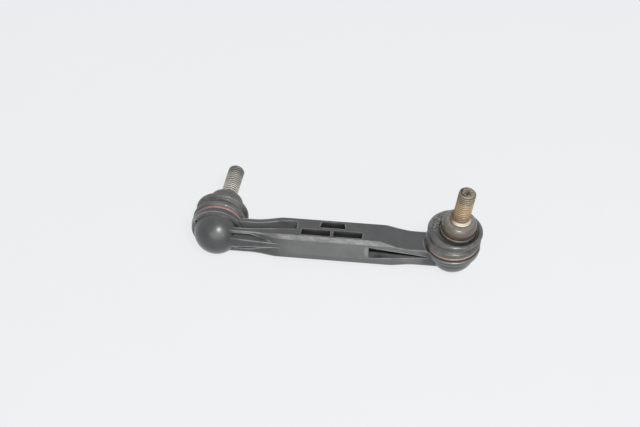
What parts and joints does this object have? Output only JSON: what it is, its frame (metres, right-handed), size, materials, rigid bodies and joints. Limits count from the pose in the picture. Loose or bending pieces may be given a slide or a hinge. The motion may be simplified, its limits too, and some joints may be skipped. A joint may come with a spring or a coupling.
{
  "type": "stabilizer link",
  "caption": "Moulded plastic stabilizer link with a ball joint at each end, the sockets a quarter turn apart, threaded studs leaning in rubber boots.",
  "frame": {"origin": "under the middle of the part's box, on the plane that its lowest ring touches", "axes": "+X from the left ball to the right ball, +Y along the left socket, +Z along the right socket"},
  "size_m": [0.1744, 0.0674, 0.0666],
  "materials": {
    "body_plastic": "satin, scuffed on the edges",
    "bearing_plastic": "smooth",
    "locking_plastic": "satin",
    "left_clamp_red": "worn lacquer",
    "right_clamp_red": "worn lacquer, dusty",
    "left_boot_rubber": "dusty, semi-matt",
    "right_boot_rubber": "dusty, semi-matt",
    "wire_steel": "dull spring wire",
    "left_stud_steel": "dull zinc, dirty thread",
    "right_stud_steel": "rusty thread"
  },
  "bodies": {
    "link": {"link_body": "body_plastic", "left_ball_seat": "bearing_plastic", "left_retaining_ring": "locking_plastic", "left_clamp_ring": "left_clamp_red", "right_ball_seat": "bearing_plastic", "right_retaining_ring": "locking_plastic", "right_clamp_ring": "right_clamp_red"},
    "left boot": {"left_boot": "left_boot_rubber"},
    "left collar": {"left_collar_ring": "wire_steel"},
    "left stud": {"left_ball_stud": "left_stud_steel"},
    "right boot": {"right_boot": "right_boot_rubber"},
    "right collar": {"right_collar_ring": "wire_steel"},
    "right stud": {"right_ball_stud": "right_stud_steel"}
  },
  "joints": [
    {"name": "left_swing", "type": "hinge", "parent": "link", "child": "left boot", "pos_m": [-0.0709, -0.01672, 0.0163], "axis": [0, 1, 0], "continuous": true},
    {"name": "left_tilt", "type": "hinge", "parent": "left boot", "child": "left collar", "pos_m": [-0.0709, -0.01672, 0.0163], "axis": [0.8788, 0, -0.4772], "range_deg": [-34.4, 15.6], "deforming": ["left_boot"]},
    {"name": "left_spin", "type": "hinge", "parent": "left collar", "child": "left stud", "pos_m": [-0.0709, -0.01672, 0.0163], "axis": [0.0779, 0.9866, 0.1435], "continuous": true},
    {"name": "right_swing", "type": "hinge", "parent": "link", "child": "right boot", "pos_m": [0.0701, -0.01672, 0.0163], "axis": [0, 0, 1], "continuous": true},
    {"name": "right_tilt", "type": "hinge", "parent": "right boot", "child": "right collar", "pos_m": [0.0701, -0.01672, 0.0163], "axis": [0.66, 0.7513, 0], "range_deg": [-34.6, 15.4], "deforming": ["right_boot"]},
    {"name": "right_spin", "type": "hinge", "parent": "right collar", "child": "right stud", "pos_m": [0.0701, -0.01672, 0.0163], "axis": [0.1253, -0.1101, 0.986], "continuous": true}
  ]
}
